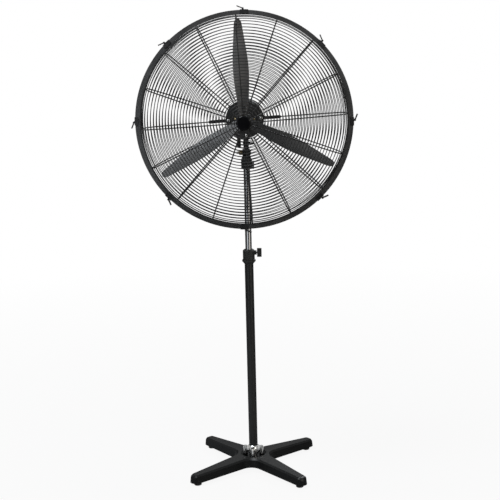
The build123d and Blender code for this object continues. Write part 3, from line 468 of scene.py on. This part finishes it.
SKIN_INPUTS = [
    ("Vector", "NodeSocketVector", (0, 0, 0)),
    ("Colour", "NodeSocketColor", (0.02, 0.02, 0.02, 1)),
    ("Pattern Colour", "NodeSocketColor", (0.04, 0.04, 0.04, 1)),
    ("Grain Scale", "NodeSocketFloat", 900.0),
    ("Mottle Scale", "NodeSocketFloat", 14.0),
    ("Rough Low", "NodeSocketFloat", 0.3),
    ("Rough High", "NodeSocketFloat", 0.45),
]
SKIN_OUTPUTS = [
    ("Colour", "NodeSocketColor"),
    ("Roughness", "NodeSocketFloat"),
    ("Height", "NodeSocketFloat"),
]


def link_finish(tree, given, out, pattern, colour_start, height):
    """Colour changes and roughness rises with a pattern, and a height goes out for the bump."""
    share = add_range(tree, pattern, colour_start, COLOUR_CHANGE_END, 0.0, 1.0)
    colour = add_mix(tree, share, given.outputs["Colour"], given.outputs["Pattern Colour"])
    low, high = given.outputs["Rough Low"], given.outputs["Rough High"]
    rough = add_range(tree, pattern, ROUGH_START, ROUGH_END, low, high)
    tree.links.new(colour, out.inputs["Colour"])
    tree.links.new(rough, out.inputs["Roughness"])
    tree.links.new(height, out.inputs["Height"])


def make_skin_group():
    """Painted or moulded skin: broad mottling of colour and gloss over a fine grain."""
    tree, given, out = group_tree("Painted skin", SKIN_INPUTS, SKIN_OUTPUTS)
    vector = given.outputs["Vector"]
    mottle = add_noise(tree, vector, given.outputs["Mottle Scale"], detail=5.0)
    grain = add_noise(tree, vector, given.outputs["Grain Scale"], detail=3.0)
    link_finish(tree, given, out, mottle, MOTTLE_FADE_START, grain)
    return tree


STREAK_INPUTS = SKIN_INPUTS[:3] + [
    ("Stretch", "NodeSocketVector", (1, 1, 1)),
    ("Streak Scale", "NodeSocketFloat", 400.0),
    ("Rough Low", "NodeSocketFloat", 0.1),
    ("Rough High", "NodeSocketFloat", 0.3),
]


def make_streak_group():
    """Metal with drawn or turned marks, and on the inner tube long streaks of painted reflection:
    noise on a vector stretched along the marks.
    """
    tree, given, out = group_tree("Streaked metal", STREAK_INPUTS, SKIN_OUTPUTS)
    stretch = tree.nodes.new("ShaderNodeVectorMath")
    stretch.operation = "MULTIPLY"
    tree.links.new(given.outputs["Vector"], stretch.inputs[0])
    tree.links.new(given.outputs["Stretch"], stretch.inputs[1])
    streak = add_noise(tree, stretch.outputs["Vector"], given.outputs["Streak Scale"], detail=4.0)
    link_finish(tree, given, out, streak, STREAK_COLOUR_START, streak)
    return tree


def shared_group(name, make):
    """A node group by name, made when it isn't there yet."""
    return bpy.data.node_groups.get(name) or make()


def finish_material(name, group, values, metallic=0.0, bump=0.05, reach=0.0005, gloss=0.5):
    """A material whose colour, roughness and bump come from one placed group."""
    found = bpy.data.materials.get(name)
    if found:
        return found
    made = bpy.data.materials.new(name)
    made.use_nodes = True
    tree = made.node_tree
    shader = tree.nodes["Principled BSDF"]
    place = tree.nodes.new("ShaderNodeTexCoord")
    effect = tree.nodes.new("ShaderNodeGroup")
    effect.node_tree = group
    tree.links.new(place.outputs["Object"], effect.inputs["Vector"])
    for label, value in values.items():
        effect.inputs[label].default_value = value
    height = tree.nodes.new("ShaderNodeBump")
    height.inputs["Strength"].default_value = bump
    height.inputs["Distance"].default_value = reach
    tree.links.new(effect.outputs["Height"], height.inputs["Height"])
    tree.links.new(effect.outputs["Colour"], shader.inputs["Base Color"])
    tree.links.new(effect.outputs["Roughness"], shader.inputs["Roughness"])
    tree.links.new(height.outputs["Normal"], shader.inputs["Normal"])
    shader.inputs["Metallic"].default_value = metallic
    shader.inputs["Specular IOR Level"].default_value = gloss
    return made


# Finishes


def rgba(colour, gain=1.0):
    """A colour of four numbers, made lighter or darker by a gain."""
    return (*(min(1.0, c * gain) for c in colour), 1.0)


def skin(name, colour, gain, grain, mottle, rough, **rest):
    """A painted or moulded finish; gain makes the faded colour lighter or darker."""
    values = {
        "Colour": rgba(colour),
        "Pattern Colour": rgba(colour, gain),
        "Grain Scale": grain,
        "Mottle Scale": mottle,
        "Rough Low": rough[0],
        "Rough High": rough[1],
    }
    return finish_material(name, shared_group("Painted skin", make_skin_group), values, **rest)


def streaked(name, colour, gain, scale, rough, stretch=(1, 1, 1), **rest):
    """A bare or plated metal finish; its marks are long where stretch is small."""
    values = {
        "Colour": rgba(colour),
        "Pattern Colour": rgba(colour, gain),
        "Stretch": stretch,
        "Streak Scale": scale,
        "Rough Low": rough[0],
        "Rough High": rough[1],
    }
    group = shared_group("Streaked metal", make_streak_group)
    return finish_material(name, group, values, metallic=1.0, **rest)


def zinc_finish():
    """Bright zinc plating with soft cloudy marks."""
    colour = bpy.context.scene.fan_finishes.zinc
    return streaked("Bright zinc", colour, gain=0.72, scale=260.0, rough=(0.18, 0.38), bump=0.04)


def yellow_zinc_finish():
    """Yellow passivated zinc plating."""
    colour = bpy.context.scene.fan_finishes.yellow_zinc
    return streaked("Yellow zinc", colour, gain=0.7, scale=300.0, rough=(0.22, 0.4), bump=0.05)


def chrome_finish():
    """Polished chrome with a trace of wiping marks."""
    return streaked(
        "Chrome",
        bpy.context.scene.fan_finishes.chrome,
        gain=0.85,
        scale=420.0,
        rough=(0.14, 0.24),
        stretch=(1, 1, 0.3),
        bump=0.01,
    )


def wire_finish():
    """Semi-gloss black paint on wire and sheet."""
    colour = bpy.context.scene.fan_finishes.wire
    feel = {"gain": 1.6, "grain": 700.0, "mottle": 30.0, "rough": (0.26, 0.40)}
    return skin("Wire paint", colour, **feel, bump=0.05, gloss=0.25)


def casting_finish():
    """Satin black paint over a die casting."""
    colour = bpy.context.scene.fan_finishes.motor
    feel = {"gain": 1.6, "grain": 520.0, "mottle": 26.0, "rough": (0.34, 0.52)}
    return skin("Casting paint", colour, **feel, bump=0.12, gloss=0.25)


def plastic_finish():
    """Black moulded plastic with a fine spark-eroded grain."""
    colour = bpy.context.scene.fan_finishes.plastic
    feel = {"gain": 1.5, "grain": 1400.0, "mottle": 18.0, "rough": (0.38, 0.55)}
    return skin("Moulded plastic", colour, **feel, bump=0.14, gloss=0.25)


def steel_finish():
    """Plain machined steel."""
    feel = {"gain": 0.7, "scale": 300.0, "rough": (0.22, 0.42)}
    return streaked("Machined steel", STEEL, **feel, stretch=(1, 9, 1))


def bolt_finish():
    """Bright plated bolt heads, a little dulled."""
    colour = bpy.context.scene.fan_finishes.zinc
    feel = {"gain": 1.2, "grain": 300.0, "mottle": 90.0, "rough": (0.3, 0.45)}
    return skin("Bolt plating", colour, **feel, metallic=0.5)


def glowing(name, colour):
    """Paper that shines plainly in reflections."""
    made = skin(name, colour, gain=0.95, grain=90.0, mottle=2.0, rough=(0.8, 0.9))
    shader = made.node_tree.nodes["Principled BSDF"]
    shader.inputs["Emission Color"].default_value = rgba(colour)
    shader.inputs["Emission Strength"].default_value = 1.0
    return made


# Small shapes and helpers of the operators


def pan_head(radius, reach, turn, seat):
    """A pan head at a turn about the fan axis, standing forward from its seat.

    The dome is h (1 - (r / R)^2), sunk by a cross where x or y is near zero.
    """
    share = (np.linspace(0, 1, DOME_ROWS) ** DOME_CROWDING)[::-1]
    rim = np.array([[0.0, 0.0], [radius, 0.0], [radius, HEAD_RIM * radius]])
    dome = np.stack([share, HEAD_RIM + HEAD_DOME * (1 - share**2)], -1) * radius
    points = turned(np.concatenate([rim, dome[1:]]), HEAD_STEPS)
    top = points[len(rim) :]
    near = np.minimum(np.abs(top[..., 0]), np.abs(top[..., 1]))
    inside = np.hypot(top[..., 0], top[..., 1]) < RECESS_REACH * radius
    cross = np.clip(RECESS_SLOPE - near / (RECESS_HALF * radius), 0, 1)
    top[..., 2] -= RECESS_DEPTH * radius * inside * cross
    angle = math.radians(turn)
    origin = (reach * math.cos(angle), -seat, FAN_HEIGHT + reach * math.sin(angle))
    return facing_front(points, origin)


def dress(material, *nodes):
    """Gives CAD nodes one material."""
    for node in nodes:
        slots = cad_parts[node].data.materials
        slots.clear()
        slots.append(material)


def add_piece(made, material, body):
    """A new piece gets its material and its body."""
    made.data.materials.append(material)
    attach(made, body)


# Operators and panel


class FAN_OT_base(bpy.types.Operator):
    """Finish the cross base, its feet and the bolted flange."""

    bl_idname = "fan.base"
    bl_label = "Base"

    def execute(self, context):
        looks = context.scene.fan_finishes
        feel = {"gain": 1.5, "grain": 420.0, "mottle": 9.0, "rough": (0.3, 0.42)}
        dress(skin("Base enamel", looks.enamel, **feel, bump=0.1, gloss=0.12), "base_cross")
        feel = {"gain": 1.8, "grain": 900.0, "mottle": 60.0, "rough": (0.7, 0.85)}
        dress(skin("Foot rubber", RUBBER, **feel, bump=0.2), "base_feet")
        dress(chrome_finish(), "pole_flange")
        dress(zinc_finish(), "flange_bolts")
        return {"FINISHED"}


class FAN_OT_pole(bpy.types.Operator):
    """Finish the tubes, the collar and the wing knob."""

    bl_idname = "fan.pole"
    bl_label = "Pole"

    def execute(self, context):
        looks = context.scene.fan_finishes
        feel = {"gain": 1.5, "grain": 800.0, "mottle": 12.0, "rough": (0.26, 0.36)}
        dress(skin("Tube paint", looks.tube, **feel, bump=0.05, gloss=0.25), "outer_tube")
        feel = {"gain": 0.9, "grain": 500.0, "mottle": 40.0, "rough": (0.4, 0.55)}
        dress(skin("Nylon", NYLON, **feel), "guide_bush", "tube_plug")
        # The inner tube's long vertical streaks, darkened to half their colour, are drawing marks and
        # also painted reflection: they stand in for the dark and bright bands that polished steel
        # shows of the room round it.
        feel = {"gain": 0.5, "scale": 150.0, "rough": (0.06, 0.14), "stretch": (1, 1, 0.01)}
        dress(streaked("Polished tube", looks.polished_tube, **feel, bump=0.02), "inner_tube")
        dress(plastic_finish(), "height_collar", "height_knob")
        dress(zinc_finish(), "height_knob_screw")
        return {"FINISHED"}


class FAN_OT_neck(bpy.types.Operator):
    """Finish the tilting neck and cut the thread on its bolt's free end."""

    bl_idname = "fan.neck"
    bl_label = "Neck"

    def execute(self, context):
        bronze = streaked("Sintered bronze", BRONZE, gain=0.7, scale=600.0, rough=(0.4, 0.6))
        dress(casting_finish(), "neck_socket", "tilt_neck", "swivel_bracket")
        dress(zinc_finish(), "socket_screws", "tilt_bolt", "tilt_washers")
        dress(yellow_zinc_finish(), "tilt_hand_nut")
        dress(plastic_finish(), "cable_clip")
        dress(steel_finish(), "swing_gear", "neck_circlip", "swing_pinion", "swing_motor")
        dress(bronze, "swivel_bush")
        self.add_thread(context)
        return {"FINISHED"}

    def add_thread(self, context):
        """A thread: radius rises and falls once per pitch along x and once round the bolt.

        The radius is root + depth |2 frac(x / pitch - t / 2 pi) - 1|, faded out at both ends.
        """
        size = context.scene.fan_details
        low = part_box("tilt_bolt")[0]
        nut_low, nut_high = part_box("tilt_hand_nut")
        centre = (nut_low + nut_high) / 2
        length = nut_low.x - low.x - THREAD_SPARE
        along = np.linspace(0, length, int(length / size.thread_pitch * ROWS_PER_PITCH))
        turn = np.linspace(0, 2 * np.pi, size.thread_steps, endpoint=False)
        phase = along[:, None] / size.thread_pitch - turn[None] / (2 * np.pi)
        fade = np.clip(np.minimum(along, length - along) / size.thread_pitch, 0, 1)[:, None]
        radius = THREAD_ROOT + THREAD_DEPTH * fade * np.abs(2 * (phase % 1.0) - 1)
        x = low.x + THREAD_START + np.broadcast_to(along[:, None], radius.shape)
        points = np.stack([x, centre.y + radius * np.cos(turn), centre.z + radius * np.sin(turn)], -1)
        middles = np.broadcast_to(points.mean(axis=1, keepdims=True), points.shape)
        closed = np.concatenate([middles[:1], points, middles[-1:]])
        thread = surface("tilt_bolt_thread", closed, wrap_columns=True)
        add_piece(thread, zinc_finish(), "mast")


class FAN_OT_motor(bpy.types.Operator):
    """Finish the motor and add the screw heads on its face."""

    bl_idname = "fan.motor"
    bl_label = "Motor"

    def execute(self, context):
        feel = {"gain": 0.5, "scale": 1500.0, "rough": (0.4, 0.6), "stretch": (0.02, 1, 0.02)}
        lamination = streaked("Laminations", LAMINATION, **feel, bump=0.3)
        feel = {"gain": 0.6, "scale": 700.0, "rough": (0.25, 0.4)}
        copper = streaked("Varnished copper", COPPER, **feel, bump=0.3)
        dress(casting_finish(), "motor_rear_bell", "motor_front_bell")
        dress(lamination, "stator_core", "rotor_core")
        dress(copper, "stator_windings")
        dress(steel_finish(), "motor_bearings", "motor_shaft")
        dress(bolt_finish(), "through_bolts")
        self.add_face_screws(context)
        return {"FINISHED"}

    def add_face_screws(self, context):
        """Two small screws beside the hub and a domed head with a cross on each through bolt."""
        size = context.scene.fan_details
        radius, reach = size.face_screw_radius, size.face_screw_reach
        seat = MOTOR_FRONT - FACE_SCREW_SINK
        small = [pan_head(radius, reach, turn, seat) for turn in FACE_SCREW_TURNS]
        made = surface("motor_face_screws", np.stack(small), wrap_columns=True)
        add_piece(made, yellow_zinc_finish(), "head")
        turns = GUARD_TURN + 360 / BOLT_COUNT * np.arange(BOLT_COUNT)
        seat = -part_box("through_bolts")[0].y - BOLT_DOME_SINK
        large = [pan_head(size.bolt_dome_radius, BOLT_REACH, turn, seat) for turn in turns]
        made = surface("through_bolt_domes", np.stack(large), wrap_columns=True)
        add_piece(made, bolt_finish(), "head")


class FAN_OT_cover(bpy.types.Operator):
    """Finish the rear cover and what is inside it."""

    bl_idname = "fan.cover"
    bl_label = "Rear Cover"

    def execute(self, context):
        dress(plastic_finish(), "rear_cover", "cord_gland", "power_button")
        feel = {"gain": 2.2, "grain": 300.0, "mottle": 160.0, "rough": (0.25, 0.5)}
        dress(skin("Circuit board", BOARD_GREEN, **feel, bump=0.2), "control_board")
        return {"FINISHED"}


class FAN_OT_guards(bpy.types.Operator):
    """Finish the wire guards, the rim hoop, the clips and the front cap."""

    bl_idname = "fan.guards"
    bl_label = "Guards"

    def execute(self, context):
        wires = [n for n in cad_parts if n.startswith(("front_guard_", "rear_guard_"))]
        clips = [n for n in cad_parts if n.startswith("clip_")]
        dress(wire_finish(), *wires, *clips)
        looks = context.scene.fan_finishes
        feel = {"gain": 1.5, "grain": 700.0, "mottle": 16.0, "rough": (0.30, 0.42)}
        dress(skin("Hoop paint", looks.hoop, **feel, bump=0.06, gloss=0.4), "guard_hoop")
        feel = {"gain": 1.8, "grain": 900.0, "mottle": 20.0, "rough": (0.05, 0.10)}
        polish = skin("Gloss cap", CAP_BLACK, **feel, bump=0.01, gloss=0.12)
        dress(polish, "front_cap")
        self.add_cap(context, polish)
        return {"FINISHED"}

    def add_cap(self, context, polish):
        """The cap turned about the fan axis: a boss, a plate and a quarter round to a low dome."""
        low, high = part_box("front_cap")
        radius, length = (high.x - low.x) / 2, high.y - low.y
        edge = context.scene.fan_details.cap_round
        plate = length - CAP_DEPTH
        bend = np.linspace(0, np.pi / 2, CAP_BEND_ROWS)
        round_radius = radius - edge + edge * np.cos(bend)
        round_height = length - CAP_CROWN - edge + edge * np.sin(bend)
        face = np.linspace(radius - edge, 0, CAP_FACE_ROWS)
        crown = length - CAP_CROWN * (face / (radius - edge)) ** 2
        boss = [[0, 0], [CAP_BOSS, 0], [CAP_BOSS, plate], [radius, plate]]
        radii = np.append(round_radius, face[1:])
        heights = np.append(round_height, crown[1:])
        outline = np.concatenate([boss, np.stack([radii, heights], -1)])
        middle = ((low.x + high.x) / 2, high.y, FAN_HEIGHT)
        points = facing_front(turned(outline, CAP_STEPS), middle)
        cap = surface("front_cap_shell", points, wrap_columns=True)
        add_piece(cap, polish, "head")
        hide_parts("front_cap")


class FAN_OT_rotor(bpy.types.Operator):
    """Finish the blades, their hub and its fasteners."""

    bl_idname = "fan.rotor"
    bl_label = "Rotor"

    def execute(self, context):
        looks = context.scene.fan_finishes
        feel = {"gain": 1.35, "grain": 600.0, "mottle": 11.0, "rough": (0.34, 0.46)}
        dress(skin("Blade paint", looks.blade, **feel, bump=0.08, gloss=0.2), "fan_blades")
        dress(casting_finish(), "blade_hub", "blade_screws")
        dress(zinc_finish(), "hub_nut")
        return {"FINISHED"}


class FAN_OT_stage(bpy.types.Operator):
    """Set up the camera, the pale floor and the soft light."""

    bl_idname = "fan.stage"
    bl_label = "Studio Stage"

    def execute(self, context):
        scene = context.scene
        scene.view_settings.view_transform = "Standard"
        self.add_camera(scene)
        self.add_floor(scene.fan_stage)
        self.add_lights(scene)
        return {"FINISHED"}

    def add_camera(self, scene):
        """The camera's axes: forward from yaw and pitch, then a roll of right and up about it."""
        stage = scene.fan_stage
        yaw, pitch, roll = stage.camera_yaw, stage.camera_pitch, stage.camera_roll
        forward = Vector(
            (-math.sin(yaw) * math.cos(pitch), math.cos(yaw) * math.cos(pitch), -math.sin(pitch))
        )
        right = Vector((math.cos(yaw), math.sin(yaw), 0))
        up = right.cross(forward)
        level = math.cos(roll) * right + math.sin(roll) * up
        upright = math.cos(roll) * up - math.sin(roll) * right
        data = bpy.data.cameras.new("fan_camera")
        data.sensor_width = SENSOR_WIDTH
        data.lens = stage.lens
        data.clip_end = CLIP_END
        camera = bpy.data.objects.new("fan_camera", data)
        turn = Matrix((level, upright, -forward)).transposed()
        camera.matrix_world = Matrix.Translation(Vector(stage.camera_place)) @ turn.to_4x4()
        scene.collection.objects.link(camera)
        scene.camera = camera

    def add_floor(self, stage):
        """A round floor: rings of growing radius, (r cos t, r sin t, 0)."""
        rings = [(radius, 0.0) for radius in FLOOR_RINGS]
        floor = surface("studio_floor", turned(rings, FLOOR_STEPS), wrap_columns=True)
        feel = {"gain": 1.02, "grain": 60.0, "mottle": 1.5, "rough": (0.75, 0.85)}
        material = skin("Studio floor", stage.floor, **feel, bump=0.02)
        floor.data.materials.append(self.lit_floor(material))

    def lit_floor(self, material):
        """Seen by the camera, the floor is mostly plain white, and all white further out."""
        tree = material.node_tree
        shader = tree.nodes["Principled BSDF"]
        place = tree.nodes["Texture Coordinate"]
        away = tree.nodes.new("ShaderNodeVectorMath")
        away.operation = "LENGTH"
        tree.links.new(place.outputs["Object"], away.inputs[0])
        distance = away.outputs["Value"]
        share = add_range(tree, distance, WHITE_NEAR, WHITE_FAR, NEAR_SHARE, FAR_SHARE)
        shown = tree.nodes.new("ShaderNodeMath")
        shown.operation = "MULTIPLY"
        tree.links.new(share, shown.inputs[0])
        tree.links.new(self.seen_rays(tree), shown.inputs[1])
        white = tree.nodes.new("ShaderNodeEmission")
        white.inputs["Color"].default_value = (1, 1, 1, 1)
        mix = tree.nodes.new("ShaderNodeMixShader")
        tree.links.new(shown.outputs[0], mix.inputs["Fac"])
        tree.links.new(shader.outputs["BSDF"], mix.inputs[1])
        tree.links.new(white.outputs["Emission"], mix.inputs[2])
        tree.links.new(mix.outputs["Shader"], tree.nodes["Material Output"].inputs["Surface"])
        return material

    def seen_rays(self, tree):
        """One for rays from the camera or through glass, and zero for others."""
        rays = tree.nodes.new("ShaderNodeLightPath")
        either = tree.nodes.new("ShaderNodeMath")
        either.operation = "MAXIMUM"
        tree.links.new(rays.outputs["Is Camera Ray"], either.inputs[0])
        tree.links.new(rays.outputs["Is Transmission Ray"], either.inputs[1])
        return either.outputs[0]

    def add_lights(self, scene):
        """A pale room, lamps at the upper left, the right and behind, and cards for reflections."""
        stage = scene.fan_stage
        world = bpy.data.worlds.new("studio_world")
        world.use_nodes = True
        tree = world.node_tree
        background = tree.nodes["Background"]
        background.inputs["Color"].default_value = (1, 1, 1, 1)
        rays = tree.nodes.new("ShaderNodeLightPath")
        mirrored = rays.outputs["Is Glossy Ray"]
        room = add_range(tree, mirrored, 0.0, 1.0, stage.world_strength, stage.mirrored_strength)
        strength = add_range(tree, self.seen_rays(tree), 0.0, 1.0, room, 1.0)
        tree.links.new(strength, background.inputs["Strength"])
        scene.world = world
        self.add_lamp(scene, "key_lamp", stage.key_power, **KEY_LAMP)
        self.add_lamp(scene, "fill_lamp", stage.fill_power, **FILL_LAMP)
        self.add_lamp(scene, "back_lamp", stage.back_power, **BACK_LAMP)
        papers = {
            "Flag cloth": skin(
                "Flag cloth", FLAG_BLACK, gain=1.3, grain=90.0, mottle=2.0, rough=(0.8, 0.9)
            ),
            "Cool paper": glowing("Cool paper", COOL),
            "Warm paper": glowing("Warm paper", WARM),
        }
        for name, paper, corners, carry in CARDS:
            self.add_card(name, papers[paper], corners, carry)

    def add_card(self, name, material, corners, carry):
        """A card that only reflections show: a line just above the floor, carried along a vector."""
        line = np.array([(*corner, CARD_RISE) for corner in corners], float)
        card = surface(name, np.stack([line, line + carry]))
        card.data.materials.append(material)
        card.visible_camera = card.visible_diffuse = card.visible_shadow = False

    def add_lamp(self, scene, name, power, size, place, colour):
        """A square lamp that faces the fan's middle."""
        data = bpy.data.lights.new(name, "AREA")
        data.energy = power
        data.size = size
        data.color = colour
        lamp = bpy.data.objects.new(name, data)
        lamp.location = place
        aim = Vector(LAMP_AIM) - Vector(place)
        lamp.rotation_euler = aim.to_track_quat("-Z", "Y").to_euler()
        scene.collection.objects.link(lamp)


class FAN_PT_sidebar(bpy.types.Panel):
    """Buttons and values of the fan's looks."""

    bl_label = "Pedestal Fan"
    bl_space_type = "VIEW_3D"
    bl_region_type = "UI"
    bl_category = "Fan"

    def draw(self, context):
        layout = self.layout
        for operator in OPERATORS:
            layout.operator(operator.bl_idname)
        for name in GROUPS:
            group = getattr(context.scene, name)
            column = layout.column()
            for label in group.bl_rna.properties.keys():
                if label not in {"rna_type", "name"}:
                    column.prop(group, label)


GROUPS = {"fan_finishes": FanFinishes, "fan_details": FanDetails, "fan_stage": FanStage}
OPERATORS = (
    FAN_OT_base,
    FAN_OT_pole,
    FAN_OT_neck,
    FAN_OT_motor,
    FAN_OT_cover,
    FAN_OT_guards,
    FAN_OT_rotor,
    FAN_OT_stage,
)


def register():
    """Adds the classes and their values to Blender."""
    for made in (*GROUPS.values(), *OPERATORS, FAN_PT_sidebar):
        bpy.utils.register_class(made)
    for name, group in GROUPS.items():
        setattr(bpy.types.Scene, name, PointerProperty(type=group))


def unregister():
    """Takes the values and the classes out again."""
    for name in GROUPS:
        delattr(bpy.types.Scene, name)
    for made in reversed((*GROUPS.values(), *OPERATORS, FAN_PT_sidebar)):
        bpy.utils.unregister_class(made)


def main():
    """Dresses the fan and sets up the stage."""
    register()
    bpy.ops.fan.base()
    bpy.ops.fan.pole()
    bpy.ops.fan.neck()
    bpy.ops.fan.motor()
    bpy.ops.fan.cover()
    bpy.ops.fan.guards()
    bpy.ops.fan.rotor()
    bpy.ops.fan.stage()


if __name__ == "__main__":
    main()
